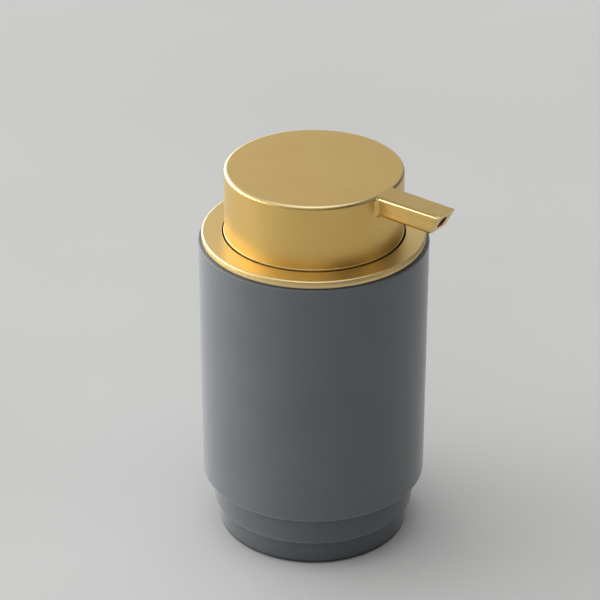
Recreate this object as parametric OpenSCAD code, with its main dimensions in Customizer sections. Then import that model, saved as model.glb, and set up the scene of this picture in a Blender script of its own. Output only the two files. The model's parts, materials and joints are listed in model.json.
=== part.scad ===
// Soap pump dispenser: a stepped stoneware vessel, a lift-off lid with a collar ring
// and a plunger pump, and a wide push cap with a flat-topped spout.
// Millimetres, +Z up, origin at the centre of the base, spout along +X.

/* [Vessel] */
// Outside diameter of the main body
body_d = 80; // [76:1:90]
// Height of the lip above the surface that the vessel stands on
lip_z = 113.8; // [110:0.2:140]
// Wall thickness of the stoneware
wall = 4; // [3:0.5:5]
// Thickness of the stoneware floor
floor_t = 5.5; // [4:0.5:6]
// Diameter of the lowest stage, the foot
foot_d = 68; // [64:0.5:69]
// Height at which the foot steps out to the middle stage
foot_z = 10.1; // [9:0.1:13]
// Diameter of the middle stage
waist_d = 72; // [70:0.5:74]
// Height at which the middle stage steps out to the main body
waist_z = 22; // [18:0.5:30]
// Radius on the outer edges of the stages
edge_r = 0.3; // [0.2:0.1:1]
// Gap under the foot, which the base pad holds open
foot_gap = 0.5; // [0.3:0.1:1]
// Diameter of the base pad
pad_d = 62; // [40:1:62]

/* [Collar ring] */
// Step in from the vessel's side to the ring's edge
ring_inset = 1.1; // [0.8:0.1:2]
// Height of the ring's side
ring_h = 2.7; // [2.4:0.1:4]
// Thickness of the ring's top flange
ring_top_t = 0.9; // [0.7:0.1:1.2]
// Shadow gap between the vessel's lip and the ring
lip_gap = 0.3; // [0.2:0.1:0.6]

/* [Push cap] */
// Gap between the cap and the ring
cap_gap = 0.9; // [0.6:0.1:2]
// Height of the cap's top above the ring's top
cap_rise = 23.7; // [22:0.1:30]
// Thickness of the cap's side wall
cap_wall = 1.6; // [1.2:0.1:2]
// Thickness of the cap's top
cap_top_t = 1.4; // [1.2:0.1:1.5]
// Radius on the cap's top edge
cap_edge_r = 1.25; // [1.2:0.05:2]

/* [Spout] */
// Reach of the spout's tip from the pump's axis
spout_reach = 55.9; // [50:0.1:70]
// Width of the spout where it leaves the cap
spout_root_w = 9.9; // [9:0.1:12]
// Width of the spout at its tip
spout_tip_w = 9.1; // [8:0.1:9.8]
// Thickness of the spout
spout_t = 7.3; // [7:0.1:8]
// Angle of the end cut, from upright
spout_cut = 27; // [0:1:35]
// Radius on the spout's lower edges
spout_edge_r = 1.2; // [0.6:0.1:2]
// Width of the flare where the spout leaves the cap
flare = 1.2; // [0.6:0.1:1.6]
// Depth of the soap channel's axis below the cap's top
channel_depth = 3.9; // [3.8:0.1:4.2]
// Diameter of the bore that holds the nozzle tube
nozzle_d = 4.2; // [3.6:0.1:4.4]

/* [Pump] */
// Travel of the head when it is pressed
stroke = 12; // [8:0.5:12]
// Bore of the pump's cylinder
bore_d = 14.1; // [13:0.1:15]
// Length of the return spring at rest
spring_len = 24; // [22:0.5:26]
// Number of turns of the return spring
spring_turns = 8; // [6:1:10]
// Wire diameter of the return spring
spring_wire = 0.8; // [0.6:0.1:0.9]
// Outside diameter of the dip tube
tube_d = 6; // [5:0.2:6.4]
// Height of the dip tube's foot above the surface
tube_foot_z = 8; // [7.5:0.5:20]

/* [Hidden] */
$fn = 96;
eps = 0.01;                                 // overshoot of a cutter past the face it cuts
slip = 0.05;                                // radial clearance of a part that slides or turns
fit = 0.02;                                 // clearance between parts that are fixed together
far = 100;                                  // size of a block that cuts everything past a plane

// Vessel
body_r = body_d / 2;
waist_r = waist_d / 2;
foot_r = foot_d / 2;
mouth_r = body_r - wall;
pad_r = pad_d / 2;
pad_recess = 1.5;                           // depth of the recess for the base pad
pad_play = 0.3;                             // the recess is this much wider than the pad
inner_floor_z = foot_gap + floor_t;
step_rise = wall - 1;                       // the inside steps out this much above the outside

// Lid, from the vessel's lip inwards
gasket_t = 2;
well_wall = 2;
ring_overhang = 0.2;                        // the ring's hole is this much smaller than the well
well_out_r = mouth_r - gasket_t;
well_r = well_out_r - well_wall;
ring_hole_r = well_r - ring_overhang;
cap_r = ring_hole_r - cap_gap;
ring_r = body_r - ring_inset;
ring_band = 1.3;                            // thickness of the ring's side band
ring_z = lip_z + lip_gap;
ring_top_z = ring_z + ring_h;
groove_h = 0.25;                            // groove turned under the ring's top flange
groove_in = 0.35;
band_in = 0.1;                              // the side band stands this far inside the flange's edge
ring_edge_r = 0.45;
ring_hole_edge_r = 0.15;
flange_r = ring_r - ring_band - slip;
well_room = 3.8;                            // depth of the well that the stroke doesn't use
well_z = ring_top_z - stroke - well_room;   // floor of the well that the cap sinks into
well_floor_t = 2;
gasket_z = well_z + 3;
gasket_h = 6;
gasket_seat = 0.5;
gasket_play = 0.08;
gasket_groove = 0.8;                        // height and depth of the grooves between its lips
gasket_groove_zs = [1.6, 3.6];              // their heights above the gasket's foot

// Pump, from the well's floor up
neck_r = 13;
neck_in_r = bore_d / 2 + 2;
neck_h = 6;
neck_top_z = well_z + neck_h;
washer_t = 0.8;
housing_flange_t = 1.5;
housing_flange_r = neck_r - 0.3;
housing_top_z = neck_top_z + washer_t + housing_flange_t;
bush_flange_r = 10;
bush_flange_t = 1;
bush_flange_z = housing_top_z + bush_flange_t;
nut_play = 0.15;                            // clearance in the nut's thread and round the bush
nut_in_r = neck_r + nut_play;
nut_r = 15.4;
nut_z = well_z + 0.8;
nut_top_t = 1.5;
nut_top_z = bush_flange_z + nut_top_t;
nut_ribs = 36;
nut_rib_w = 1;
nut_rib_t = 0.4;
nut_rib_inset = 0.8;                        // its ribs end this far short of its top and foot
stem_r = 3.5;
stem_bore_r = 2.2;
stem_outlet_r = 1.5;
bush_sleeve_r = 6.2;
bush_rise = 1.2;                            // the sleeve stands this far above the nut
bush_top_z = nut_top_z + bush_rise;
bush_foot_z = well_z;

// Pump, from the piston down
bore_r = bore_d / 2;
housing_wall = 1.25;
piston_top_z = bush_foot_z - 0.8;
piston_h = 8;
piston_lip_h = 2;                           // height of the wiping lip at each end
piston_waist = 1.1;                         // depth of the waist between the lips
piston_cup = 1.4;                           // depth of the cup in its top
vent_r = 0.5;                               // air hole, covered by the resting piston
vent_z = piston_top_z - piston_h / 2;
core_flange_r = 5.6;
core_flange_t = 2.5;
core_gap = 0.5;                             // between the core's flange and the piston
stem_socket = 1.5;                          // the stem's foot starts this far above the piston's
piston_z = piston_top_z - piston_h;
core_z = piston_z - core_flange_t - core_gap;   // where the return spring presses
spring_foot_z = core_z - spring_len;
spring_coil_r = 4.6;
cage_t = 1.5;
cage_hole_r = 1.4;
cage_slot_r = 0.5;                          // six small holes round the middle one
cage_slot_at = 2.6;
cage_z = spring_foot_z - cage_t;
inlet_ball_r = 2.4;
outlet_ball_r = 1.7;
inlet_seat_r = 1.8;
outlet_seat_r = 1.2;
ball_lift = 1.5;                            // travel of each valve ball
ball_room_r = 3.3;
ball_play = 0.2;                            // a ball at the top of its travel is this far off its stop
inlet_ball_up = seat_height(inlet_ball_r, inlet_seat_r) + fit;
inlet_ball_z = cage_z - ball_play - inlet_ball_r - ball_lift;
ball_room_z = inlet_ball_z - inlet_ball_up;
tail_wall = 1.3;
tail_r = tube_d / 2 + tail_wall;
barrel_floor_t = 1.2;
tail_wall_z = ball_room_z - barrel_floor_t;
tube_top_z = ball_room_z - 5.5;
tube_socket = 8;                            // length of the dip tube inside the housing's tail
tail_z = tube_top_z - tube_socket;
tube_wall = 1;
tube_cut = 35;                              // slant of the dip tube's foot
outlet_seat_z = piston_z + 2;
outlet_ball_z = outlet_seat_z + seat_height(outlet_ball_r, outlet_seat_r) + fit;
stem_throat_z = outlet_ball_z + ball_lift + seat_height(outlet_ball_r, stem_outlet_r) + ball_play;

// Head
cap_top_z = ring_top_z + cap_rise;
cap_in_r = cap_r - cap_wall;
cap_ceiling_z = cap_top_z - cap_top_t;
cap_skirt_z = well_z + stroke + 1;
cap_skirt_r = 0.4;                          // radius on the skirt's lower edge
cap_bead = 0.35;                            // the bead round the cap stands out this far
cap_bead_z = ring_top_z - 0.4;              // it fills part of the gap to the ring
cap_bead_h = 1;
cap_bead_r = 0.2;
cap_flat_r = cap_r - cap_edge_r;
socket_z = bush_top_z + stroke + 1;
socket_r = 6.5;
stem_top_z = cap_top_z - 6.5;
channel_z = cap_top_z - channel_depth;
channel_start_x = 4;
channel_block_r = 3.6;
liner_z = socket_z + 1.5;
liner_t = 1.5;
core_rim_t = 2.4;
core_disc_t = 2;
core_ribs = 6;
rib_t = 1.6;
rib_h = 5;

// Spout
spout_root_r = spout_root_w / 2;
spout_tip_r = spout_tip_w / 2;
spout_z = cap_top_z - spout_t;
tenon_x = cap_in_r - 3.5;                   // inner end of the spout, inside the cap
side_top_z = cap_top_z - cap_edge_r;        // where the cap's straight side ends
spout_taper = (spout_root_r - spout_tip_r) / (spout_reach - cap_flat_r);
tenon_play = 0.1;
tenon_r = spout_half_w(tenon_x) + 3 * tenon_play;   // half-width of the core's pocket for the spout
nozzle_r = nozzle_d / 2;
nozzle_bore_r = nozzle_r - 0.7;
nozzle_recess = 1.6;                        // the nozzle tube ends this far inside the spout

// ---- Outlines and shared shapes ----

// Height of a ball's centre above the edge of the hole that it sits on
function seat_height(ball_r, hole_r) = sqrt(pow(ball_r, 2) - pow(hole_r, 2));

// Rectangle from one corner to the other, in the plane that a revolve turns
module block_2d(r0, z0, r1, z1) {
    translate([r0, z0]) square([r1 - r0, z1 - z0]);
}

// What a rounding removes at a convex corner at (x, z); the material lies towards (dx, dz)
module corner_waste(x, z, dx, dz, r) {
    translate([x, z])
        mirror([dx < 0 ? 1 : 0, 0])
            mirror([0, dz < 0 ? 1 : 0])
                difference() {
                    translate([-eps, -eps]) square(r + eps);
                    translate([r, r]) circle(r);
                }
}

// Upright tube
module tube(r_out, r_in, z0, z1) {
    difference() {
        translate([0, 0, z0]) cylinder(h = z1 - z0, r = r_out);
        translate([0, 0, z0 - 1]) cylinder(h = z1 - z0 + 2, r = r_in);
    }
}

// Upright drill
module drill(r, z0, z1) {
    translate([0, 0, z0]) cylinder(h = z1 - z0, r = r);
}

// Drill along +X at the height of the soap channel
module channel_drill(r, x0, x1) {
    translate([x0, 0, channel_z]) rotate([0, 90, 0]) cylinder(h = x1 - x0, r = r);
}

// ---- Vessel ----

module vessel_outside_2d() {
    difference() {
        union() {
            block_2d(0, foot_gap, foot_r, foot_z + 1);
            block_2d(0, foot_z, waist_r, waist_z + 1);
            block_2d(0, waist_z, body_r, lip_z);
        }
        corner_waste(foot_r, foot_gap, -1, 1, edge_r);
        corner_waste(waist_r, foot_z, -1, 1, edge_r);
        corner_waste(body_r, waist_z, -1, 1, edge_r);
        corner_waste(body_r, lip_z, -1, -1, edge_r);
    }
}

module vessel_inside_2d() {
    block_2d(0, inner_floor_z, foot_r - wall, foot_z + step_rise);
    block_2d(0, foot_z + step_rise - eps, waist_r - wall, waist_z + step_rise);
    block_2d(0, waist_z + step_rise - eps, mouth_r, lip_z + 1);
}

module vessel_body() {
    color("slategray")
        rotate_extrude()
            difference() {
                vessel_outside_2d();
                vessel_inside_2d();
                block_2d(0, foot_gap - 1, pad_r + pad_play, foot_gap + pad_recess);
            }
}

module base_pad() {
    color("dimgray") drill(pad_r, 0, foot_gap + pad_recess);
}

// ---- Lid ----

module collar_ring() {
    color("goldenrod")
        rotate_extrude()
            difference() {
                union() {
                    block_2d(ring_hole_r, ring_top_z - ring_top_t, ring_r, ring_top_z);
                    block_2d(ring_r - ring_band, ring_z, ring_r - band_in, ring_top_z - ring_top_t + eps);
                }
                block_2d(ring_r - groove_in, ring_top_z - ring_top_t - groove_h,
                         ring_r + 1, ring_top_z - ring_top_t);
                corner_waste(ring_r, ring_top_z, -1, -1, ring_edge_r);
                corner_waste(ring_hole_r, ring_top_z, 1, -1, ring_hole_edge_r);
            }
}

module lid_carrier() {
    color("black")
        rotate_extrude()
            difference() {
                union() {
                    block_2d(neck_in_r, well_z - well_floor_t, well_out_r, well_z);
                    block_2d(neck_in_r, well_z - eps, neck_r, neck_top_z);
                    block_2d(well_r, well_z - eps, well_out_r, ring_top_z - ring_top_t - slip);
                    block_2d(well_r, lip_z, flange_r, ring_top_z - ring_top_t - slip);
                }
                block_2d(well_out_r - gasket_seat, gasket_z, well_out_r + 1, gasket_z + gasket_h);
            }
}

module lid_gasket() {
    color("gainsboro")
        rotate_extrude()
            difference() {
                block_2d(well_out_r - gasket_seat, gasket_z, mouth_r - gasket_play, gasket_z + gasket_h);
                for (z = gasket_groove_zs)
                    block_2d(mouth_r - gasket_groove, gasket_z + z, mouth_r, gasket_z + z + gasket_groove);
            }
}

module pump_housing() {
    color("whitesmoke")
        difference() {
            union() {
                drill(housing_flange_r, housing_top_z - housing_flange_t, housing_top_z);
                drill(bore_r + housing_wall, tail_wall_z, housing_top_z);
                drill(tail_r, tail_z, housing_top_z - 1);
            }
            drill(bore_r, cage_z, housing_top_z + 1);
            drill(ball_room_r, ball_room_z, cage_z + 1);
            drill(inlet_seat_r, tail_z - 1, ball_room_z + 1);
            drill(tube_d / 2 + fit, tail_z - 1, tube_top_z);
            translate([0, 0, vent_z]) rotate([0, 90, 0]) cylinder(h = 2 * bore_r, r = vent_r);
        }
}

module housing_gasket() {
    color("dimgray")
        tube(housing_flange_r, neck_in_r, neck_top_z, neck_top_z + washer_t);
}

module pump_nut() {
    color("whitesmoke") {
        difference() {
            drill(nut_r, nut_z, nut_top_z);
            drill(nut_in_r, well_z, housing_top_z);
            drill(bush_flange_r + nut_play, housing_top_z - eps, bush_flange_z);
            drill(bush_sleeve_r + nut_play, bush_flange_z - eps, nut_top_z + 1);
        }
        for (i = [0 : nut_ribs - 1])
            rotate([0, 0, i * 360 / nut_ribs])
                translate([nut_r - nut_rib_t, -nut_rib_w / 2, nut_z + nut_rib_inset])
                    cube([2 * nut_rib_t, nut_rib_w, nut_top_z - nut_z - 2 * nut_rib_inset]);
    }
}

module guide_bush() {
    color("whitesmoke")
        difference() {
            union() {
                drill(bore_r - fit, bush_foot_z, bush_flange_z);
                drill(bush_flange_r, housing_top_z, bush_flange_z);
                drill(bush_sleeve_r, bush_foot_z, bush_top_z);
            }
            drill(stem_r + slip, bush_foot_z - 1, bush_top_z + 1);
        }
}

module ball_cage() {
    color("whitesmoke")
        difference() {
            drill(bore_r - fit, cage_z, spring_foot_z);
            drill(cage_hole_r, cage_z - 1, spring_foot_z + 1);
            for (a = [0 : 60 : 300])
                rotate([0, 0, a])
                    translate([cage_slot_at, 0, 0])
                        drill(cage_slot_r, cage_z - 1, spring_foot_z + 1);
        }
}

module dip_tube() {
    color("ghostwhite")
        difference() {
            tube(tube_d / 2, tube_d / 2 - tube_wall, tube_foot_z, tube_top_z);
            translate([-tube_d / 2, 0, tube_foot_z])
                rotate([0, -tube_cut, 0])
                    translate([-far / 2, -far / 2, -far]) cube(far);
        }
}

// Helix of round wire as one closed polyhedron; its end turns are closed up to the wire's pitch
module helix(coil_r, wire_r, z0, z1, turns) {
    sides = 8;
    steps = 24 * turns;
    dead = 0.75;                            // turns that are closed up at each end
    dead_rise = 2 * wire_r + 0.05;
    live_rise = z1 - z0 - 2 * wire_r - 2 * dead_rise;
    function share(t, length) = min(max(t / length, 0), 1);
    function spine_z(t) = z0 + wire_r
        + dead_rise * (share(t, dead) + share(t - turns + dead, dead))
        + live_rise * share(t - dead, turns - 2 * dead);
    points = [
        for (i = [0 : steps], j = [0 : sides - 1])
            let (a = 360 * turns * i / steps, b = 360 * j / sides, r = coil_r + wire_r * cos(b))
                [r * cos(a), r * sin(a), spine_z(turns * i / steps) + wire_r * sin(b)]
    ];
    skin = [
        for (i = [0 : steps - 1], j = [0 : sides - 1])
            let (k = (j + 1) % sides)
                [i * sides + j, (i + 1) * sides + j, (i + 1) * sides + k, i * sides + k]
    ];
    first = [for (j = [0 : sides - 1]) j];
    last = [for (j = [sides - 1 : -1 : 0]) steps * sides + j];
    polyhedron(points = points, faces = concat(skin, [first, last]));
}

module return_spring() {
    color("silver")
        helix(spring_coil_r, spring_wire / 2, spring_foot_z + fit, core_z - fit, spring_turns);
}

module inlet_ball() {
    color("lightsteelblue") translate([0, 0, inlet_ball_z]) sphere(inlet_ball_r);
}

// ---- Plunger ----

module stem() {
    color("whitesmoke")
        difference() {
            drill(stem_r, piston_z + stem_socket, stem_top_z);
            drill(stem_bore_r, piston_z, stem_throat_z);
            drill(stem_outlet_r, stem_throat_z - eps, stem_top_z + 1);
        }
}

module piston() {
    color("ghostwhite")
        rotate_extrude()
            difference() {
                block_2d(stem_r + fit, piston_z, bore_r - slip, piston_top_z);
                block_2d(bore_r - piston_waist, piston_z + piston_lip_h,
                         bore_r + 1, piston_top_z - piston_lip_h);
                block_2d(0, piston_top_z - piston_cup, bore_r - piston_waist, piston_top_z + 1);
            }
}

module piston_core() {
    color("whitesmoke")
        difference() {
            union() {
                drill(core_flange_r, core_z, core_z + core_flange_t);
                drill(stem_r, core_z, piston_z + stem_socket - fit);
                drill(stem_bore_r - fit, core_z, outlet_seat_z);
            }
            drill(outlet_seat_r, core_z - 1, outlet_seat_z + 1);
        }
}

module outlet_ball() {
    color("lightsteelblue") translate([0, 0, outlet_ball_z]) sphere(outlet_ball_r);
}

// ---- Head ----

// Half-width of the spout at a distance from the axis
function spout_half_w(x) = spout_root_r + (cap_flat_r - x) * spout_taper;

// Plan of the spout between two distances from the axis
module spout_plan(x0, x1, grow) {
    r0 = spout_half_w(x0) + grow;
    r1 = spout_half_w(x1) + grow;
    polygon([[x0, -r0], [x1, -r1], [x1, r1], [x0, r0]]);
}

module head_cap() {
    color("goldenrod")
        difference() {
            rotate_extrude()
                difference() {
                    union() {
                        block_2d(0, cap_skirt_z, cap_r, cap_top_z);
                        block_2d(0, cap_bead_z, cap_r + cap_bead, cap_bead_z + cap_bead_h);
                    }
                    block_2d(0, cap_skirt_z - 1, cap_in_r, cap_ceiling_z);
                    corner_waste(cap_r + cap_bead, cap_bead_z, -1, 1, cap_bead_r);
                    corner_waste(cap_r + cap_bead, cap_bead_z + cap_bead_h, -1, -1, cap_bead_r);
                    corner_waste(cap_r, cap_top_z, -1, -1, cap_edge_r);
                    corner_waste(cap_r, cap_skirt_z, -1, 1, cap_skirt_r);
                }
            translate([0, 0, spout_z - fit])
                linear_extrude(side_top_z - spout_z) spout_plan(tenon_x, cap_r + 1, fit);
            difference() {
                translate([0, 0, side_top_z - 2 * fit])
                    linear_extrude(cap_top_z) spout_plan(tenon_x, cap_r + 1, fit);
                drill(cap_flat_r, 0, cap_top_z + 2);
            }
        }
}

// Thin upright slice of the spout, a flat top over rounded lower edges, grown at its sides and foot
module spout_slice(x, grow) {
    half_w = spout_half_w(x) + grow;
    foot = -spout_t - grow;
    translate([x, 0, cap_top_z])
        rotate([90, 0, 90])
            linear_extrude(eps)
                difference() {
                    translate([-half_w, foot]) square([2 * half_w, -foot]);
                    corner_waste(half_w, foot, -1, 1, spout_edge_r + grow, $fn = 32);
                    corner_waste(-half_w, foot, 1, 1, spout_edge_r + grow, $fn = 32);
                }
}

module spout() {
    color("goldenrod")
        difference() {
            union() {
                hull() {
                    spout_slice(tenon_x, 0);
                    spout_slice(spout_reach, 0);
                }
                difference() {
                    hull() {
                        spout_slice(cap_r - flare, flare);
                        spout_slice(cap_r + flare, 0);
                    }
                    drill(cap_r + fit, 0, cap_top_z + 1);
                    translate([0, -far / 2, side_top_z]) cube(far);
                }
            }
            drill(cap_flat_r + fit, cap_ceiling_z - fit, cap_top_z + 1);
            channel_drill(nozzle_r + fit, tenon_x - 1, spout_reach + 1);
            translate([spout_reach, 0, cap_top_z])
                rotate([0, spout_cut, 0])
                    translate([0, -far / 2, -far / 2]) cube(far);
        }
}

module head_core() {
    color("whitesmoke")
        difference() {
            union() {
                drill(socket_r, socket_z, cap_ceiling_z - fit);
                translate([0, 0, cap_ceiling_z - fit - core_disc_t])
                    cylinder(h = core_disc_t, r = cap_in_r - fit);
                tube(cap_in_r - fit, cap_in_r - core_rim_t, liner_z + liner_t, cap_ceiling_z - fit);
                translate([0, -channel_block_r, channel_z - channel_block_r])
                    cube([tenon_x - tenon_play, 2 * channel_block_r, channel_block_r + 1]);
                for (i = [0 : core_ribs - 1])
                    rotate([0, 0, 30 + i * 360 / core_ribs])
                        translate([socket_r - 0.5, -rib_t / 2, liner_z + liner_t])
                            cube([cap_in_r - core_rim_t - socket_r + 1, rib_t, rib_h]);
            }
            drill(stem_r + fit, socket_z - 1, stem_top_z);
            drill(stem_outlet_r, stem_top_z - 1, channel_z);
            channel_drill(nozzle_bore_r, 0, channel_start_x + 1);
            channel_drill(nozzle_r + fit, channel_start_x, tenon_x);
            translate([tenon_x - tenon_play, -tenon_r, 0]) cube([far, 2 * tenon_r, 2 * cap_top_z]);
        }
}

module cap_liner() {
    color("dimgray") tube(cap_in_r - fit, socket_r + fit, liner_z, liner_z + liner_t - fit);
}

module nozzle_tube() {
    tube_end_x = spout_reach - channel_depth * tan(spout_cut) - nozzle_recess;
    color("ghostwhite")
        difference() {
            channel_drill(nozzle_r, channel_start_x + 0.1, tube_end_x);
            channel_drill(nozzle_bore_r, channel_start_x - 1, tube_end_x + 1);
        }
}

vessel_body();
base_pad();
collar_ring();
lid_carrier();
lid_gasket();
pump_housing();
housing_gasket();
pump_nut();
guide_bush();
ball_cage();
dip_tube();
return_spring();
inlet_ball();
stem();
piston();
piston_core();
outlet_ball();
head_cap();
spout();
head_core();
cap_liner();
nozzle_tube();
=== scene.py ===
import json
import math

import bmesh
import bpy
from mathutils import Matrix, Vector

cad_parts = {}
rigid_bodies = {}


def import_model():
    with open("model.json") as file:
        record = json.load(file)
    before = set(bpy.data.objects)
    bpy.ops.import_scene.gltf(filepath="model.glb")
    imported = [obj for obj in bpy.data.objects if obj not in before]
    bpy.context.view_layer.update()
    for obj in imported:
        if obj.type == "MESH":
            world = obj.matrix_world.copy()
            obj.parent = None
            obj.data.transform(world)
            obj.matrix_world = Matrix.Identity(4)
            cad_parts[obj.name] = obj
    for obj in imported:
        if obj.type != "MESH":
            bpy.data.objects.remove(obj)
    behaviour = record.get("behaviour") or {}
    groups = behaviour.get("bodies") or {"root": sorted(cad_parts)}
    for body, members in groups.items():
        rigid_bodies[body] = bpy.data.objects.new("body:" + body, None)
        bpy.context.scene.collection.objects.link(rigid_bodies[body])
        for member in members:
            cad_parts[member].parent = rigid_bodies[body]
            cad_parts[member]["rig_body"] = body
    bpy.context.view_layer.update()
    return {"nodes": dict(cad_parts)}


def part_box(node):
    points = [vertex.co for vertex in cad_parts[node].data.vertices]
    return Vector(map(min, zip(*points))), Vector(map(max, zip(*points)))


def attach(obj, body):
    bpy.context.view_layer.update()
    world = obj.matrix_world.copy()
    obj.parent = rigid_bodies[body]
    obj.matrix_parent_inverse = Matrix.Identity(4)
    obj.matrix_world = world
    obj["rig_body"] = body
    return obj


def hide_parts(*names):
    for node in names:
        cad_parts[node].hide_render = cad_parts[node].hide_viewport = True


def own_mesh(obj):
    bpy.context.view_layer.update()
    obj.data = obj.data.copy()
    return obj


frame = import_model()

MM = 0.001
FIT = 0.02              # mm between parts that are fixed together
SEGMENTS = 256          # round pieces that show
FEW_SEGMENTS = 128      # round pieces inside
NOZZLE_SEGMENTS, BALL_SEGMENTS, RIB_SEGMENTS = 96, 64, 16
ARC_STEP = 0.12         # mm of arc between two points of a rounding, about
SHARP_ANGLE = math.radians(40)


def extent(node):
    """(outer radius, foot, top) of a round CAD node on the main axis, in millimetres."""
    low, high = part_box(node)
    return high.y / MM, low.z / MM, high.z / MM


# ---- Sizes in millimetres: from the CAD boxes, and by name where a box can't give them ----

body_r, foot_z, lip_z = extent("vessel_body")
pad_r, pad_z, pad_top = extent("base_pad")
PAD_GAP = 0.3
FOOT_R, FOOT_TOP = 34, 10.1
WAIST_R, WAIST_TOP = 36, 22
STONE_WALL = 4
STONE_EDGE = 0.3        # radius on the outer edges of the stages
STONE_CREASE = 0.2      # glaze that fills the inner corners
INSIDE_RISE = 3         # the inside steps out this much above the outside
FLOOR_TOP = 6

ring_r, ring_z, ring_top = extent("collar_ring")
carrier_r, carrier_z, carrier_top = extent("lid_carrier")
gasket_r, gasket_z, gasket_top = extent("lid_gasket")
RING_HOLE_R = 31.8
RING_TOP_T = 0.9
RING_BAND = 1.3
RING_BAND_IN = 0.1      # the band under the groove stands this far in from the top's edge
GROOVE_H, GROOVE_IN = 0.35, 0.35
WELL_R, WELL_OUT_R, WELL_FLOOR_T = 32, 34, 2
GASKET_SEAT = 0.5
LIP_PITCH, LIP_GAP, LIP_DEPTH = 2, 0.8, 0.7

nut_r, nut_z, nut_top = extent("pump_nut")
bush_r, bush_z, bush_top = extent("guide_bush")
washer_r, washer_z, washer_top = extent("housing_gasket")
tube_r, tube_z, tube_top = extent("dip_tube")
stem_r, stem_z, stem_top = extent("stem")
piston_r, piston_z, piston_top = extent("piston")
core_r, core_z, core_top = extent("piston_core")
spring_r, spring_z, spring_top = extent("return_spring")
NECK_R, NECK_IN_R, NECK_H = 13, 9.05, 6
NUT_RIBS, NUT_RIB_T = 36, 0.4
NUT_RIB_END = 0.8       # plain bands above and below the ribs
NUT_THREAD_R, NUT_HOLE_R, NUT_POCKET_R = NECK_R + 0.15, 6.35, 10.15
FLANGE_Z, FLANGE_TOP = 109.3, 110.3     # the bush's flange, held in the nut's pocket
BUSH_HOLE_R, BUSH_PLUG_R, BUSH_NECK_R = 3.55, 7.03, 6.2
TUBE_BORE_R, TUBE_CUT = 2, math.radians(35)
SPRING_WIRE_R, SPRING_TURNS = 0.4, 8
STEM_BORE_R, STEM_OUTLET_R, STEM_THROAT_Z = 2.2, 1.5, 97.92
PISTON_HOLE_R, PISTON_LIP_H, PISTON_WAIST, PISTON_CUP = 3.52, 2, 1.05, 1.4
CORE_BORE_R, CORE_SPIGOT_R, CORE_SPIGOT_H, CORE_FLANGE_T = 1.2, 2.18, 0.52, 2.5

CAP_BEAD, CAP_BEAD_H, CAP_BEAD_DROP = 0.35, 1, 0.4
bead_r, cap_z, cap_top = extent("head_cap")
cap_r = bead_r - CAP_BEAD
liner_r, liner_z, liner_top = extent("cap_liner")
CAP_WALL, CAP_TOP_T, CAP_EDGE, CAP_SKIRT_EDGE = 1.6, 1.4, 1.25, 0.4
CAP_TOP_RINGS = (0.8, 0.4)      # rings of points across the flat top, as shares of its radius
SOCKET_R = 6.5

spout_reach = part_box("spout")[1].x / MM
SPOUT_ROOT_W, SPOUT_TIP_W, SPOUT_T = 9.9, 9.1, 7.3
SPOUT_CUT = math.radians(27)
SPOUT_FLARE, SPOUT_FOOT_EDGE = 1.2, 1.2
SPOUT_ROOT_EDGE, SPOUT_TIP_EDGE = 1.3, 0.8
SPOUT_END_EDGE = 0.25
SPOUT_TUCK, SPOUT_TUCK_DROP = 1, 0.5    # how far the root runs into the cap, and under its top
BORE_CHAMFER, BORE_TUCK = 0.2, 2
CHANNEL_DEPTH = 3.9
NOZZLE_R, NOZZLE_BORE_R = 2.1, 1.4


# ---- Meshes ----

def rounded(outline):
    """The outline with an arc at each corner that names a radius: (r, z) or (r, z, radius)."""
    points = []
    for i, corner in enumerate(outline):
        p = Vector(corner[:2])
        if len(corner) == 2:
            points.append(p)
            continue
        back = (Vector(outline[i - 1][:2]) - p).normalized()
        on = (Vector(outline[(i + 1) % len(outline)][:2]) - p).normalized()
        half = back.angle(on) / 2
        turn = math.pi - 2 * half
        centre = p + (back + on).normalized() * corner[2] / math.sin(half)
        start = p + back * corner[2] / math.tan(half) - centre
        end = p + on * corner[2] / math.tan(half) - centre
        steps = max(4, math.ceil(turn * corner[2] / ARC_STEP))
        for k in range(steps + 1):
            near, far = math.sin(turn * (1 - k / steps)), math.sin(turn * k / steps)
            points.append(centre + (start * near + end * far) / math.sin(turn))
    return points


def skin(bm, rows, close=False):
    """Faces from each row of vertices to the next. A row of one vertex is a pole."""
    after = rows[1:] + rows[:1] if close else rows[1:]
    for a, b in zip(rows, after):
        for k in range(max(len(a), len(b))):
            corners = [a[k % len(a)], a[(k + 1) % len(a)], b[(k + 1) % len(b)], b[k % len(b)]]
            corners = list(dict.fromkeys(corners))
            if len(corners) > 2:
                bm.faces.new(corners)


def to_mesh(bm, name):
    """The finished mesh, smooth but for its sharp edges."""
    bmesh.ops.recalc_face_normals(bm, faces=bm.faces)
    mesh = bpy.data.meshes.new(name)
    bm.to_mesh(mesh)
    bm.free()
    mesh.shade_smooth()
    mesh.set_sharp_from_angle(angle=SHARP_ANGLE)
    return mesh


def lathe(name, outline, segments=FEW_SEGMENTS, shape=None):
    """Turns a closed outline of (r, z[, radius]) round the Z axis. shape may move a point, given as
    (r, angle, z), to another (r, z)."""
    bm = bmesh.new()
    rows = []
    for r, z in rounded(outline):
        row = []
        for k in range(segments if r > 0 else 1):
            angle = 2 * math.pi * k / segments
            rr, zz = shape(r, angle, z) if shape else (r, z)
            point = (rr * math.cos(angle) * MM, rr * math.sin(angle) * MM, zz * MM)
            row.append(bm.verts.new(point))
        rows.append(row)
    skin(bm, rows, close=True)
    return to_mesh(bm, name)


def stand_in(node, name, mesh, material):
    """Puts a piece in a CAD node's place: on its body, and shown instead of it."""
    cad = frame["nodes"][node]
    piece = bpy.data.objects.new(name, mesh)
    bpy.context.scene.collection.objects.link(piece)
    mesh.materials.append(material)
    normals = piece.modifiers.new("even_normals", "WEIGHTED_NORMAL")
    normals.keep_sharp = True
    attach(piece, cad["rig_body"])
    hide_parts(node)
    return piece


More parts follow.
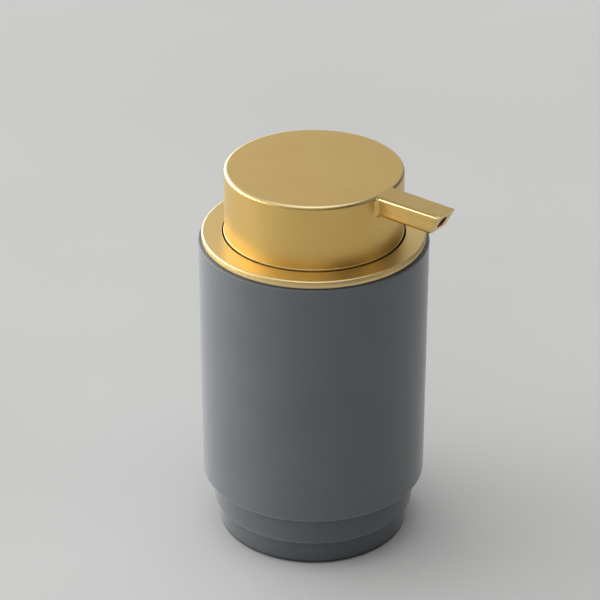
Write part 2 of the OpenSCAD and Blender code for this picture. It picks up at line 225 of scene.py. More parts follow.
def finish_cad(node, material):
    """Keeps a CAD node and gives it a finished material."""
    cad = frame["nodes"][node]
    cad.material_slots[0].material = material


# ---- Materials ----

MICRON = 0.000001
NOISE_LOW, NOISE_HIGH = 0.3, 0.7        # nearly all of a noise lies between these
MIX_FIRST, MIX_SECOND, MIX_RESULT = 6, 7, 2     # sockets of a Mix node of colours


class Shader:
    """A material on the Principled shader. add() makes a node and sets or links its inputs."""

    def __init__(self, name, **constants):
        self.material = bpy.data.materials.new(name)
        self.material.use_nodes = True
        self.nodes = self.material.node_tree.nodes
        self.links = self.material.node_tree.links
        self.surface = self.nodes["Principled BSDF"]
        for socket, value in constants.items():
            self.surface.inputs[socket.replace("_", " ")].default_value = value

    def add(self, kind, inputs, **settings):
        node = self.nodes.new("ShaderNode" + kind)
        for key, value in settings.items():
            setattr(node, key, value)
        for key, value in inputs.items():
            if isinstance(value, bpy.types.NodeSocket):
                self.links.new(value, node.inputs[key])
            else:
                node.inputs[key].default_value = value
        return node.outputs

    def feed(self, socket, value):
        self.links.new(value, self.surface.inputs[socket])

    def place(self):
        return self.add("TexCoord", {})["Object"]

    def noise(self, place, scale, detail=4, roughness=0.5):
        inputs = {"Vector": place, "Scale": scale, "Detail": detail, "Roughness": roughness}
        return self.add("TexNoise", inputs)[0]

    def spread(self, value, low, high, start=NOISE_LOW, end=NOISE_HIGH):
        """A value from start to end, spread from low to high."""
        inputs = {
            "Value": value, "From Min": start, "From Max": end, "To Min": low, "To Max": high,
        }
        return self.add("MapRange", inputs)["Result"]

    def tones(self, value, first, second):
        """A colour between two, by value."""
        stops = self.add("ValToRGB", {"Fac": value})
        ramp = self.nodes[-1].color_ramp
        for stop, colour, at in zip(ramp.elements, (first, second), (NOISE_LOW, NOISE_HIGH)):
            stop.color = (*colour, 1)
            stop.position = at
        return stops["Color"]

    def profile(self, value, stops):
        """A grey that follows stops of (value from 0 to 1, grey)."""
        ramp_colour = self.add("ValToRGB", {"Fac": value})["Color"]
        elements = self.nodes[-1].color_ramp.elements
        for k, (at, grey) in enumerate(stops):
            stop = elements[k] if k < 2 else elements.new(at)
            stop.position, stop.color = at, (grey, grey, grey, 1)
        return ramp_colour

    def mix(self, share, first, second, blend="MIX"):
        """Two colours blended, by share of the second."""
        inputs = {"Factor": share, MIX_FIRST: first, MIX_SECOND: second}
        return self.add("Mix", inputs, data_type="RGBA", blend_type=blend)[MIX_RESULT]

    def bump(self, height, depth, normal=None):
        """A normal from a height of 0 to 1 that stands depth metres high."""
        inputs = {"Height": height, "Distance": depth, "Strength": 1.0}
        if normal:
            inputs["Normal"] = normal
        return self.add("Bump", inputs)["Normal"]

    def round_place(self, place, along=1.0):
        """Coordinates across the lathe's lines, radius and height, and along them, the angle."""
        xyz = self.add("SeparateXYZ", {"Vector": place})
        flat = self.add("CombineXYZ", {"X": xyz["X"], "Y": xyz["Y"]})["Vector"]
        radius = self.add("VectorMath", {0: flat}, operation="LENGTH")["Value"]
        angle = self.add("Math", {0: xyz["Y"], 1: xyz["X"]}, operation="ARCTAN2")["Value"]
        turned = self.add("Math", {0: angle, 1: along}, operation="MULTIPLY")["Value"]
        return self.add("CombineXYZ", {"X": radius, "Y": xyz["Z"], "Z": turned})["Vector"]

    def painted_edge_highlight(self, colour, low, share=1.0, shade_depth=1.0, upright_share=0.0):
        """The colour with a painted highlight, paler by share, where an edge turns from flat to
        upright.
        The painted highlight reaches down to where the height of its normal is low; under it lies
        painted shade, the colour times the shade depth. The upright share is how far upright faces
        get it too."""
        normal = self.add("TexCoord", {})["Normal"]
        up = self.add("SeparateXYZ", {"Vector": normal})["Z"]
        # painted highlight round the edges, and on upright faces by the upright share
        highlight = self.profile(up, [
            (0.03, upright_share), (0.10, 0), (low, 0), (low + 0.18, share), (0.95, share), (0.995, 0),
        ])
        # painted shade just under the painted highlight
        under = self.profile(up, [(0.04, 1), (0.12, shade_depth), (low - 0.08, shade_depth), (low + 0.04, 1)])
        return self.mix(1.0, self.mix(highlight, colour, GOLD_PAINTED_HIGHLIGHT), under, "MULTIPLY")

    def scaled(self, place, x, y, z):
        return self.add("VectorMath", {0: place, 1: (x, y, z)}, operation="MULTIPLY")["Vector"]


GOLD_DEEP, GOLD_PALE = (0.69, 0.470, 0.147), (0.72, 0.498, 0.164)
RING_DEEP, RING_PALE = (0.73, 0.525, 0.19), (0.76, 0.555, 0.21)
BRUSHED_DEEP, BRUSHED_PALE = (0.62, 0.405, 0.115), (0.80, 0.56, 0.20)
# painted highlight: the pale colour laid on the gold's edges
GOLD_PAINTED_HIGHLIGHT = (0.88, 0.73, 0.42, 1)
GOLD_GRAIN, GOLD_CLOUDS = 5200, 60      # noise scales
GOLD_GRAIN_DEPTH = 3 * MICRON
HIGHLIGHT_LOW, SPOUT_HIGHLIGHT_LOW = 0.52, 0.22   # how far round an edge its painted highlight reaches
PAINTED_SHADE_UNDER_EDGE = 0.66                       # depth of the painted shade just under that painted highlight
CAP_ROUGHNESS, RING_ROUGHNESS, SPOUT_ROUGHNESS = (0.35, 0.40), (0.40, 0.46), (0.21, 0.26)
THIN_LACQUER = {"Coat_Weight": 0.15, "Coat_Roughness": 0.3}
LACQUER = {"Coat_Weight": 0.35, "Coat_Roughness": 0.3}

STONE_DARK, STONE_LIGHT = (0.117, 0.134, 0.148), (0.131, 0.150, 0.166)
STONE_FLECK = (0.075, 0.083, 0.092, 1)
STONE_ROUGHNESS = (0.42, 0.50)
STEEL_DARK, STEEL_LIGHT = (0.50, 0.51, 0.52), (0.62, 0.63, 0.64)

# Painted light and shade on the glaze from the foot up, as (height in millimetres, grey): 0.7 is
# plain, lighter is a painted highlight along a stage's edge, darker is painted shade under the
# steps, over the lower stages and at the foot
GLAZE_SPAN = 30
GLAZE_PAINTED_LIGHT = [
    (foot_z + 0.8, 0.01), (foot_z + 1.1, 0.40), (6, 0.46), (FOOT_TOP - 2, 0.40), (FOOT_TOP, 0.38),
    (FOOT_TOP + 0.15, 0.82), (FOOT_TOP + 0.9, 0.60), (17, 0.55), (WAIST_TOP - 2.5, 0.46),
    (WAIST_TOP, 0.43), (WAIST_TOP + 0.15, 0.9), (WAIST_TOP + 1.0, 0.7),
]


def satin_gold():
    """Fine blasted gold plating with a trace of the lathe's lines on its side, and a painted
    highlight along its edges with painted shade under it.
    """
    s = Shader("satin_gold_plating", Metallic=1.0, **THIN_LACQUER)
    place = s.place()
    across = s.scaled(s.round_place(place, along=0.002), 0, 1, 1)
    lines = s.noise(across, scale=5000, detail=3)
    grain = s.noise(place, GOLD_GRAIN, detail=3)
    gold = s.tones(s.noise(place, GOLD_CLOUDS, detail=3), GOLD_DEEP, GOLD_PALE)
    s.feed("Base Color", s.painted_edge_highlight(gold, HIGHLIGHT_LOW, shade_depth=PAINTED_SHADE_UNDER_EDGE))
    s.feed("Roughness", s.spread(grain, *CAP_ROUGHNESS))
    s.feed("Normal", s.bump(grain, GOLD_GRAIN_DEPTH, s.bump(lines, 1.5 * MICRON)))
    return s.material


def turned_gold():
    """The ring's plating, a little paler and duller: a satin top, and lathe lines on its side. Its
    edges and upright faces carry a painted highlight, with painted shade under the edges.
    """
    s = Shader("turned_gold_plating", Metallic=1.0, **LACQUER)
    place = s.place()
    across = s.scaled(s.round_place(place, along=0.001), 0, 1, 1)
    lines = s.noise(across, scale=4200, detail=4, roughness=0.65)
    grain = s.noise(place, GOLD_GRAIN, detail=3)
    gold = s.tones(s.noise(place, GOLD_CLOUDS, detail=3), RING_DEEP, RING_PALE)
    s.feed("Base Color", s.painted_edge_highlight(gold, HIGHLIGHT_LOW, shade_depth=PAINTED_SHADE_UNDER_EDGE, upright_share=0.45))
    s.feed("Roughness", s.spread(grain, *RING_ROUGHNESS))
    s.feed("Normal", s.bump(grain, GOLD_GRAIN_DEPTH, s.bump(lines, 10 * MICRON)))
    return s.material


def drawn_gold():
    """The spout's plating: a satin top, and sides brushed along their length, with a faint painted
    highlight along its edges.
    """
    s = Shader("drawn_gold_plating", Metallic=1.0, **LACQUER)
    place = s.place()
    streaks = s.noise(s.scaled(place, 0.015, 0, 1), scale=1500, detail=4, roughness=0.6)
    grain = s.noise(place, GOLD_GRAIN, detail=3)
    gold = s.tones(streaks, BRUSHED_DEEP, BRUSHED_PALE)
    s.feed("Base Color", s.painted_edge_highlight(gold, SPOUT_HIGHLIGHT_LOW, share=0.3))
    s.feed("Roughness", s.spread(grain, *SPOUT_ROUGHNESS))
    s.feed("Normal", s.bump(grain, GOLD_GRAIN_DEPTH, s.bump(streaks, 40 * MICRON)))
    return s.material


def stoneware():
    """Matt blue-grey glaze, faintly clouded, with a fine tooth. It has a painted highlight along
    the edges of the stages, and painted shade under them, over the lower stages and round the foot."""
    s = Shader("matt_slate_glaze", IOR=1.6, Sheen_Weight=0.6, Sheen_Roughness=0.35)
    place = s.place()
    clouds = s.noise(place, scale=55, detail=5)
    tooth = s.noise(place, scale=2600, detail=3)
    swell = s.noise(place, scale=420, detail=2)
    specks = s.add("TexVoronoi", {"Vector": place, "Scale": 700.0, "Randomness": 1.0})["Distance"]
    height = s.add("SeparateXYZ", {"Vector": place})["Z"]
    share = s.add("MapRange", {"Value": height, "From Max": GLAZE_SPAN * MM})["Result"]
    # painted light and shade on the glaze, by height
    depth = s.profile(share, [(z / GLAZE_SPAN, grey) for z, grey in GLAZE_PAINTED_LIGHT])
    painted_glaze = s.mix(1.0, s.tones(clouds, STONE_DARK, STONE_LIGHT), depth, "MULTIPLY")
    fleck = s.spread(specks, low=0.35, high=0.0, start=0.02, end=0.16)
    s.feed("Base Color", s.mix(fleck, painted_glaze, STONE_FLECK))
    s.feed("Roughness", s.spread(clouds, *STONE_ROUGHNESS))
    s.feed("Normal", s.bump(tooth, 12 * MICRON, s.bump(swell, 10 * MICRON)))
    return s.material


def moulded(name, first, second, roughness, grain=6 * MICRON, **constants):
    """Moulded plastic or rubber: two close tones, a satin spread of gloss and a fine grain."""
    s = Shader(name, **constants)
    place = s.place()
    fine = s.noise(place, scale=2400, detail=3)
    s.feed("Base Color", s.tones(s.noise(place, scale=110, detail=3), first, second))
    s.feed("Roughness", s.spread(fine, *roughness))
    s.feed("Normal", s.bump(fine, grain))
    return s.material


def steel(name, roughness):
    """Drawn or ground steel with fine lines round it."""
    s = Shader(name, Metallic=1.0)
    place = s.place()
    lines = s.noise(s.round_place(place, along=0.001), scale=4200, detail=3)
    s.feed("Base Color", s.tones(lines, STEEL_DARK, STEEL_LIGHT))
    s.feed("Roughness", s.spread(lines, *roughness))
    s.feed("Normal", s.bump(lines, 3 * MICRON))
    return s.material


gold_cap, gold_ring, gold_spout = satin_gold(), turned_gold(), drawn_gold()
glaze = stoneware()
black = moulded("black_moulded_plastic", (0.012, 0.012, 0.013), (0.020, 0.020, 0.021), (0.38, 0.52))
white = moulded("white_moulded_plastic", (0.58, 0.58, 0.565), (0.63, 0.63, 0.615), (0.30, 0.42))
natural = moulded(
    "natural_moulded_plastic", (0.45, 0.47, 0.46), (0.53, 0.55, 0.54), (0.28, 0.40),
    Subsurface_Weight=0.35, Subsurface_Radius=(0.004, 0.004, 0.004),
)
# painted shade: the nozzle's brown stands for the spout's bore in shadow
outlet_shade_brown = moulded("nozzle_plastic_painted_shade", (0.150, 0.060, 0.025), (0.190, 0.080, 0.036), (0.35, 0.50))
silicone = moulded(
    "clear_silicone_rubber", (0.42, 0.45, 0.46), (0.50, 0.53, 0.54), (0.32, 0.46),
    Subsurface_Weight=0.5, Subsurface_Radius=(0.006, 0.006, 0.006),
)
rubber = moulded(
    "grey_silicone_rubber", (0.030, 0.031, 0.033), (0.045, 0.046, 0.048), (0.55, 0.70),
    grain=10 * MICRON,
)
spring_steel = steel("drawn_spring_steel", (0.18, 0.30))
ball_steel = steel("ground_ball_steel", (0.08, 0.14))


# ---- Vessel ----

def vessel():
    inside_foot_r, inside_waist_r, mouth_r = (r - STONE_WALL for r in (FOOT_R, WAIST_R, body_r))
    outline = [
        (0, pad_top), (pad_r + PAD_GAP, pad_top), (pad_r + PAD_GAP, foot_z, 0.2),
        (FOOT_R, foot_z, STONE_EDGE), (FOOT_R, FOOT_TOP, STONE_CREASE),
        (WAIST_R, FOOT_TOP, STONE_EDGE), (WAIST_R, WAIST_TOP, STONE_CREASE),
        (body_r, WAIST_TOP, STONE_EDGE), (body_r, lip_z, STONE_EDGE), (mouth_r, lip_z, 0.5),
        (mouth_r, WAIST_TOP + INSIDE_RISE, 1.5), (inside_waist_r, WAIST_TOP + INSIDE_RISE, 1.5),
        (inside_waist_r, FOOT_TOP + INSIDE_RISE, 0.9), (inside_foot_r, FOOT_TOP + INSIDE_RISE, 0.9),
        (inside_foot_r, FLOOR_TOP, 2), (0, FLOOR_TOP),
    ]
    stand_in("vessel_body", "stoneware_vessel", lathe("vessel", outline, SEGMENTS), glaze)


def foot_pad():
    outline = [(0, pad_z), (pad_r, pad_z, 0.4), (pad_r, pad_top, 0.1), (0, pad_top)]
    stand_in("base_pad", "foot_pad", lathe("foot_pad", outline, SEGMENTS), rubber)


# ---- Lid ----

def collar():
    under = ring_top - RING_TOP_T
    outline = [
        (RING_HOLE_R, under), (ring_r - RING_BAND, under), (ring_r - RING_BAND, ring_z, 0.1),
        (ring_r - RING_BAND_IN, ring_z, 0.35), (ring_r - RING_BAND_IN, under - GROOVE_H, 0.05),
        (ring_r - GROOVE_IN, under - GROOVE_H), (ring_r - GROOVE_IN, under),
        (ring_r, under, 0.12), (ring_r, ring_top, 0.7), (RING_HOLE_R, ring_top, 0.15),
    ]
    stand_in("collar_ring", "gold_collar", lathe("gold_collar", outline, SEGMENTS), gold_ring)


def carrier():
    well_z = carrier_z + WELL_FLOOR_T
    neck_top = well_z + NECK_H
    seat_r = WELL_OUT_R - GASKET_SEAT
    outline = [
        (NECK_IN_R, carrier_z, 0.3), (WELL_OUT_R, carrier_z, 0.6), (WELL_OUT_R, gasket_z),
        (seat_r, gasket_z), (seat_r, gasket_top), (WELL_OUT_R, gasket_top),
        (WELL_OUT_R, lip_z, 0.3), (carrier_r, lip_z, 0.2), (carrier_r, carrier_top, 0.2),
        (WELL_R, carrier_top, 0.2), (WELL_R, well_z, 1), (NECK_R, well_z, 0.4),
        (NECK_R, neck_top, 0.3), (NECK_IN_R, neck_top),
    ]
    stand_in("lid_carrier", "lid_well", lathe("lid_well", outline, SEGMENTS), black)


def mouth_gasket():
    seat_r = WELL_OUT_R - GASKET_SEAT
    lips = round((gasket_top - gasket_z) / LIP_PITCH)
    outline = [(seat_r, gasket_z)]
    for k in range(lips):
        low = gasket_z + k * LIP_PITCH + (LIP_GAP / 2 if k > 0 else 0)
        high = gasket_z + (k + 1) * LIP_PITCH - (LIP_GAP / 2 if k < lips - 1 else 0)
        if k > 0:
            outline.append((gasket_r - LIP_DEPTH, low, 0.15))
        outline += [(gasket_r, low, 0.5), (gasket_r, high, 0.5)]
        if k < lips - 1:
            outline.append((gasket_r - LIP_DEPTH, high, 0.15))
    outline.append((seat_r, gasket_top))
    stand_in("lid_gasket", "mouth_gasket", lathe("mouth_gasket", outline, SEGMENTS), silicone)


def washer():
    outline = [
        (NECK_IN_R, washer_z, 0.1), (washer_r, washer_z, 0.2), (washer_r, washer_top, 0.2),
        (NECK_IN_R, washer_top, 0.1),
    ]
    stand_in("housing_gasket", "flange_washer", lathe("flange_washer", outline), rubber)


def neck_nut():
    side_r = nut_r - NUT_RIB_T
    rib_z, rib_top = nut_z + NUT_RIB_END, nut_top - NUT_RIB_END
    rib_ease = 0.3      # height over which a rib rises at its ends

    def ribbed(r, angle, z):
        if r > side_r - 0.01 and rib_z + 0.1 < z < rib_top - 0.1:
            return r + NUT_RIB_T * max(0, math.cos(NUT_RIBS * angle)) ** 0.5, z
        return r, z

    outline = [
        (NUT_THREAD_R, nut_z, 0.2), (side_r, nut_z, 0.3), (side_r, rib_z),
        (side_r, rib_z + rib_ease), (side_r, rib_top - rib_ease), (side_r, rib_top),
        (side_r, nut_top, 0.4), (NUT_HOLE_R, nut_top, 0.2), (NUT_HOLE_R, FLANGE_TOP),
        (NUT_POCKET_R, FLANGE_TOP), (NUT_POCKET_R, FLANGE_Z), (NUT_THREAD_R, FLANGE_Z),
    ]
    mesh = lathe("neck_nut", outline, NUT_RIBS * RIB_SEGMENTS, ribbed)
    stand_in("pump_nut", "neck_nut", mesh, white)


def stem_bush():
    outline = [
        (BUSH_HOLE_R, bush_z, 0.1), (BUSH_PLUG_R, bush_z, 0.4), (BUSH_PLUG_R, FLANGE_Z),
        (bush_r, FLANGE_Z, 0.1), (bush_r, FLANGE_TOP, 0.2), (BUSH_NECK_R, FLANGE_TOP, 0.2),
        (BUSH_NECK_R, bush_top, 0.4), (BUSH_HOLE_R, bush_top, 0.3),
    ]
    stand_in("guide_bush", "stem_bush", lathe("stem_bush", outline), white)


def dip_tube():
    def slanted(r, angle, z):
        if z < tube_z + 1:
            z += (r * math.cos(angle) + tube_r) * math.tan(TUBE_CUT)
        return r, z

    outline = [
        (TUBE_BORE_R, tube_z, 0.1), (tube_r, tube_z, 0.1), (tube_r, tube_top, 0.2),
        (TUBE_BORE_R, tube_top, 0.2),
    ]
    mesh = lathe("siphon_tube", outline, FEW_SEGMENTS, slanted)
    stand_in("dip_tube", "siphon_tube", mesh, natural)


def return_spring():
    """A coil of round wire whose end turns lie closed, which shortens as the pump is pressed."""
    wire_sides, steps_a_turn = 16, 72
    steps = SPRING_TURNS * steps_a_turn
    coil_r = spring_r - SPRING_WIRE_R
    closed_turns, closed_rise = 0.75, 2 * SPRING_WIRE_R + 0.05
    open_turns = SPRING_TURNS - 2 * closed_turns
    open_rise = spring_top - spring_z - 2 * SPRING_WIRE_R - 2 * closed_rise

    def share(turns, length):
        return min(max(turns / length, 0), 1)

    bm = bmesh.new()
    rows = []
    for i in range(steps + 1):
        turns = SPRING_TURNS * i / steps
        last = turns - SPRING_TURNS + closed_turns
        rise = closed_rise * (share(turns, closed_turns) + share(last, closed_turns))
        rise += open_rise * share(turns - closed_turns, open_turns)
        middle = Vector((coil_r, 0, spring_z + SPRING_WIRE_R + rise))
        spin = Matrix.Rotation(2 * math.pi * turns, 3, "Z")
        row = []
        for k in range(wire_sides):
            around = 2 * math.pi * k / wire_sides
            wire = Vector((math.cos(around), 0, math.sin(around))) * SPRING_WIRE_R
            row.append(bm.verts.new(spin @ (middle + wire) * MM))
        if i in (0, steps):
            end = [bm.verts.new(spin @ middle * MM)]
        rows += [end, row] if i == 0 else [row, end] if i == steps else [row]
    skin(bm, rows)
    piece = stand_in("return_spring", "coil_spring", to_mesh(bm, "coil_spring"), spring_steel)
    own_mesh(piece)


def ball(node, name):
    r, low, top = extent(node)
    middle = (low + top) / 2
    steps = 32
    outline = [(0, low)]
    for k in range(1, steps):
        tilt = math.pi * (k / steps - 0.5)
        outline.append((r * math.cos(tilt), middle + r * math.sin(tilt)))
    outline.append((0, top))
    stand_in(node, name, lathe(name, outline, BALL_SEGMENTS), ball_steel)


# ---- Plunger ----

def stem():
    outline = [
        (STEM_BORE_R, stem_z, 0.1), (stem_r, stem_z, 0.2), (stem_r, stem_top, 0.3),
        (STEM_OUTLET_R, stem_top, 0.1), (STEM_OUTLET_R, STEM_THROAT_Z),
        (STEM_BORE_R, STEM_THROAT_Z),
    ]
    stand_in("stem", "plunger_stem", lathe("plunger_stem", outline), white)


def piston():
    waist_r = piston_r - PISTON_WAIST
    low_lip, high_lip = piston_z + PISTON_LIP_H, piston_top - PISTON_LIP_H
    cup_z = piston_top - PISTON_CUP
    outline = [
        (PISTON_HOLE_R, piston_z), (piston_r, piston_z, 0.3), (piston_r, low_lip, 0.3),
        (waist_r, low_lip, 0.2), (waist_r, high_lip, 0.2), (piston_r, high_lip, 0.3),
        (piston_r, piston_top, 0.3), (waist_r, piston_top, 0.2), (waist_r, cup_z, 0.2),
        (PISTON_HOLE_R, cup_z),
    ]
    stand_in("piston", "plunger_piston", lathe("plunger_piston", outline), natural)


def piston_core():
    flange_top, spigot_z = core_z + CORE_FLANGE_T, core_top - CORE_SPIGOT_H
    outline = [
        (CORE_BORE_R, core_z, 0.1), (core_r, core_z, 0.3), (core_r, flange_top, 0.3),
        (stem_r, flange_top, 0.1), (stem_r, spigot_z), (CORE_SPIGOT_R, spigot_z),
        (CORE_SPIGOT_R, core_top), (CORE_BORE_R, core_top),
    ]
    stand_in("piston_core", "piston_foot", lathe("piston_foot", outline), white)


# ---- Head ----

def push_cap():
    inside_r, ceiling = cap_r - CAP_WALL, cap_top - CAP_TOP_T
    bead_z = ring_top - CAP_BEAD_DROP
    outline = [
        (0, ceiling), (inside_r, ceiling, 0.8), (inside_r, cap_z, 0.3),
        (cap_r, cap_z, CAP_SKIRT_EDGE), (cap_r, bead_z), (bead_r, bead_z, 0.2),
        (bead_r, bead_z + CAP_BEAD_H, 0.2), (cap_r, bead_z + CAP_BEAD_H),
        (cap_r, cap_top, CAP_EDGE), *((share * cap_r, cap_top) for share in CAP_TOP_RINGS),
        (0, cap_top),
    ]
    stand_in("head_cap", "push_cap", lathe("push_cap", outline, SEGMENTS), gold_cap)


def cap_lining():
    outline = [
        (SOCKET_R + FIT, liner_z, 0.1), (liner_r, liner_z, 0.2), (liner_r, liner_top),
        (SOCKET_R + FIT, liner_top),
    ]
    stand_in("cap_liner", "cap_lining", lathe("cap_lining", outline), black)


def cap_face_x(y, z):
    """Distance from the axis, along the spout, of the cap's outer face at (y, z below the top)."""
    up = CAP_EDGE + z
    r = cap_r - CAP_EDGE + math.sqrt(max(0, CAP_EDGE ** 2 - up ** 2)) if up > 0 else cap_r
    return math.sqrt(r ** 2 - y ** 2)


def spout_section(half_w, depth, top_edge, foot_edge):
    """Outline across the spout as (y, z below the top), clockwise from the left of its flat top."""
    flats, bends = 24, 8
    points = []

    def flat(a, b):
        points.extend(Vector(a).lerp(Vector(b), k / flats) for k in range(flats))

    def bend(y, z, r, start):
        for k in range(bends):
            angle = math.radians(start - 90 * k / bends)
            points.append(Vector((y + r * math.cos(angle), z + r * math.sin(angle))))

    top_y, foot_y, foot_edge_z = half_w - top_edge, half_w - foot_edge, foot_edge - depth
    flat((-top_y, 0), (top_y, 0))
    bend(top_y, -top_edge, top_edge, 90)
    flat((half_w, -top_edge), (half_w, foot_edge_z))
    bend(foot_y, foot_edge_z, foot_edge, 0)
    flat((foot_y, -depth), (-foot_y, -depth))
    bend(-foot_y, foot_edge_z, foot_edge, -90)
    flat((-half_w, foot_edge_z), (-half_w, -top_edge))
    bend(-top_y, -top_edge, top_edge, 180)
    return points


def spout():
    """The spout from just inside the cap to its slanted end, with its bore."""
    length = spout_reach - cap_r
    fillet_steps, body_steps, end_steps = 10, 14, 3
    bm = bmesh.new()
    rows = []

    def end_x(z):
        return spout_reach + z * math.tan(SPOUT_CUT)

    def add_row(points):
        rows.append([bm.verts.new((x * MM, y * MM, (cap_top + z) * MM)) for x, y, z in points])

    def station(d, flare=0.0, inset=0.0):
        share = d / length
        half_w = (SPOUT_ROOT_W + (SPOUT_TIP_W - SPOUT_ROOT_W) * share) / 2
        top_edge = SPOUT_ROOT_EDGE + (SPOUT_TIP_EDGE - SPOUT_ROOT_EDGE) * share
        plain = spout_section(half_w, SPOUT_T, top_edge, SPOUT_FOOT_EDGE)
        grown = spout_section(half_w + flare, SPOUT_T + flare, top_edge, SPOUT_FOOT_EDGE + flare)
        row = []
        for thin, wide in zip(plain, grown):
            depth = min(max((-thin.y - 0.5 * CAP_EDGE) / (0.5 * CAP_EDGE), 0), 1)
            y, z = thin.lerp(wide, depth * depth * (3 - 2 * depth))
            y *= 1 - inset / half_w
            z = -SPOUT_T / 2 + (z + SPOUT_T / 2) * (1 - 2 * inset / SPOUT_T)
            start_x = cap_face_x(y, z)
            x = start_x + d + (end_x(z) - start_x - length) * share ** 2
            row.append((x, y, z))
        return row

    root = station(0, SPOUT_FLARE)
    add_row([(x - SPOUT_TUCK, y, min(z, -SPOUT_TUCK_DROP)) for x, y, z in root])
    for k in range(fillet_steps + 1):
        angle = math.radians(90 * k / fillet_steps)
        add_row(station(SPOUT_FLARE * (1 - math.cos(angle)), SPOUT_FLARE * (1 - math.sin(angle))))
    straight = length - SPOUT_FLARE - SPOUT_END_EDGE
    for k in range(1, body_steps + 1):
        add_row(station(SPOUT_FLARE + straight * k / body_steps))
    for k in range(1, end_steps + 1):
        angle = math.radians(90 * k / end_steps)
        add_row(station(length - SPOUT_END_EDGE * (1 - math.sin(angle)),
                        inset=SPOUT_END_EDGE * (1 - math.cos(angle))))

    around = [math.atan2(z + CHANNEL_DEPTH, y) for _, y, z in station(length)]
    bore_r = NOZZLE_R + FIT
    rim_r = bore_r + BORE_CHAMFER
    rim = [(rim_r * math.cos(a), rim_r * math.sin(a) - CHANNEL_DEPTH) for a in around]
    bore = [(bore_r * math.cos(a), bore_r * math.sin(a) - CHANNEL_DEPTH) for a in around]
    add_row([(end_x(z), y, z) for y, z in rim])
    add_row([(end_x(z) - BORE_CHAMFER, y, z) for y, z in bore])
    add_row([(cap_r - BORE_TUCK, y, z) for y, z in bore])
    skin(bm, rows, close=True)
    stand_in("spout", "spout_arm", to_mesh(bm, "spout_arm"), gold_spout)


def nozzle():
    low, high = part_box("nozzle_tube")
    start, end = low.x / MM, high.x / MM
    outline = [
        (NOZZLE_BORE_R, start, 0.1), (NOZZLE_R, start, 0.1), (NOZZLE_R, end, 0.25),
        (NOZZLE_BORE_R, end, 0.25),
    ]
    mesh = lathe("spout_nozzle", outline, NOZZLE_SEGMENTS)
    raised = Matrix.Translation((0, 0, (low.z + high.z) / 2))
    mesh.transform(raised @ Matrix.Rotation(math.pi / 2, 4, "Y"))
    stand_in("nozzle_tube", "spout_nozzle", mesh, outlet_shade_brown)


vessel()
foot_pad()
collar()
carrier()
mouth_gasket()
washer()
neck_nut()
stem_bush()
dip_tube()
return_spring()
ball("inlet_ball", "inlet_valve_ball")
ball("outlet_ball", "outlet_valve_ball")
stem()
piston()
piston_core()
push_cap()
cap_lining()
spout()
nozzle()
finish_cad("pump_housing", natural)
finish_cad("ball_cage", natural)
finish_cad("head_core", white)


# ---- Stage, camera and light ----

CAMERA_AZIMUTH, CAMERA_ELEVATION = 38.81, 28.9
CAMERA_DISTANCE = 0.842
CAMERA_AIM = Vector((-0.0035, -0.0033, 0.0889))
CAMERA_LENS, CAMERA_SENSOR = 144, 36
CAMERA_NEAR, CAMERA_FAR = 0.01, 50
FLOOR_SIZE = 12
FLOOR_DARK, FLOOR_PALE = (0.67, 0.67, 0.66), (0.71, 0.71, 0.70)
FLOOR_ROUGHNESS = (0.62, 0.66)


def towards(azimuth, elevation):
    """Unit vector from the object: azimuth 0 is -Y and 90 is +X, in degrees."""
    a, e = math.radians(azimuth), math.radians(elevation)
    return Vector((math.sin(a) * math.cos(e), -math.cos(a) * math.cos(e), math.sin(e)))


def camera():
    data = bpy.data.cameras.new("camera")
    data.lens, data.sensor_width = CAMERA_LENS, CAMERA_SENSOR
    data.clip_start, data.clip_end = CAMERA_NEAR, CAMERA_FAR
    shot = bpy.data.objects.new("camera", data)
    bpy.context.scene.collection.objects.link(shot)
    back = towards(CAMERA_AZIMUTH, CAMERA_ELEVATION)
    shot.location = CAMERA_AIM + back * CAMERA_DISTANCE
    shot.rotation_mode = "QUATERNION"
    shot.rotation_quaternion = (-back).to_track_quat("-Z", "Y")
    bpy.context.scene.camera = shot


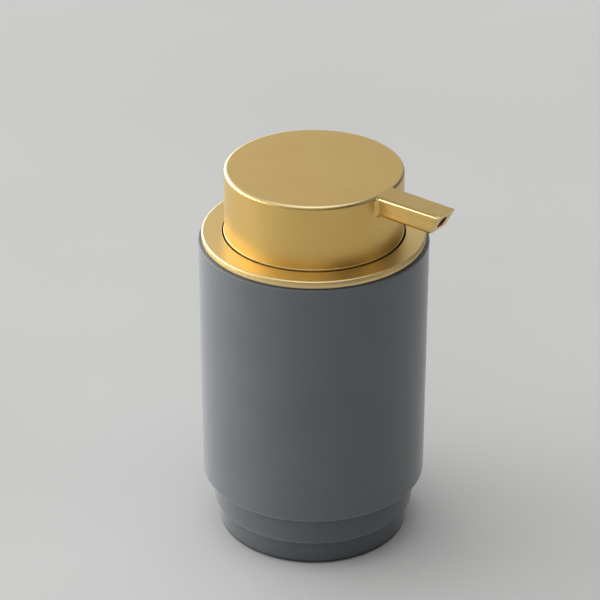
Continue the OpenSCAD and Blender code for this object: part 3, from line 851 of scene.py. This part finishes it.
def pale_floor():
    s = Shader("pale_floor", Specular_IOR_Level=0.15)
    place = s.place()
    s.feed("Base Color", s.tones(s.noise(place, scale=5), FLOOR_DARK, FLOOR_PALE))
    s.feed("Roughness", s.spread(s.noise(place, scale=40, detail=3), *FLOOR_ROUGHNESS))
    bm = bmesh.new()
    bmesh.ops.create_grid(bm, x_segments=8, y_segments=8, size=FLOOR_SIZE / 2)
    floor = bpy.data.objects.new("floor", to_mesh(bm, "floor"))
    floor.data.materials.append(s.material)
    bpy.context.scene.collection.objects.link(floor)


# Soft round glows of the studio: (name, degrees round from the camera, elevation, reach, strength)
GLOWS = [
    ("low window on the left", turn, 3, 24, strength)
    for turn, strength in (
        (-135, 4.0), (-120, 5.4), (-105, 6.4), (-90, 6.0), (-75, 4.0), (-60, 1.5),
    )
] + [
    ("window behind", -152, 8, 30, 2.3),
    ("wall behind", 180, 28, 50, 0.55),
    ("above the window", -75, 42, 42, 0.3),
    ("front", 0, 29, 28, 0.85),
    ("left of the camera", -35, 24, 28, 0.65),
    ("right", 80, 8, 30, 0.9),
    ("ceiling", 0, 88, 37, 1.65),
]
AMBIENT = 0.03


def studio():
    """A world of soft glows on a dim room."""
    world = bpy.data.worlds.new("studio")
    world.use_nodes = True
    world.node_tree.nodes["Background"].inputs["Color"].default_value = (1, 1, 1, 1)
    bpy.context.scene.world = world
    nodes, links = world.node_tree.nodes, world.node_tree.links
    direction = nodes.new("ShaderNodeTexCoord").outputs["Generated"]
    total = None
    for name, turn, elevation, reach, strength in GLOWS:
        dot = nodes.new("ShaderNodeVectorMath")
        dot.operation = "DOT_PRODUCT"
        dot.inputs[1].default_value = towards(CAMERA_AZIMUTH + turn, elevation)
        links.new(direction, dot.inputs[0])
        fade = nodes.new("ShaderNodeMapRange")
        fade.interpolation_type = "SMOOTHSTEP"
        fade.inputs["From Min"].default_value = math.cos(math.radians(reach))
        fade.inputs["To Max"].default_value = strength
        links.new(dot.outputs["Value"], fade.inputs["Value"])
        lit = nodes.new("ShaderNodeMath")
        lit.label = name
        links.new(fade.outputs["Result"], lit.inputs[0])
        if total:
            links.new(total, lit.inputs[1])
        else:
            lit.inputs[1].default_value = AMBIENT
        total = lit.outputs["Value"]
    links.new(total, nodes["Background"].inputs["Strength"])


camera()
pale_floor()
studio()
bpy.context.scene.view_settings.view_transform = "Standard"
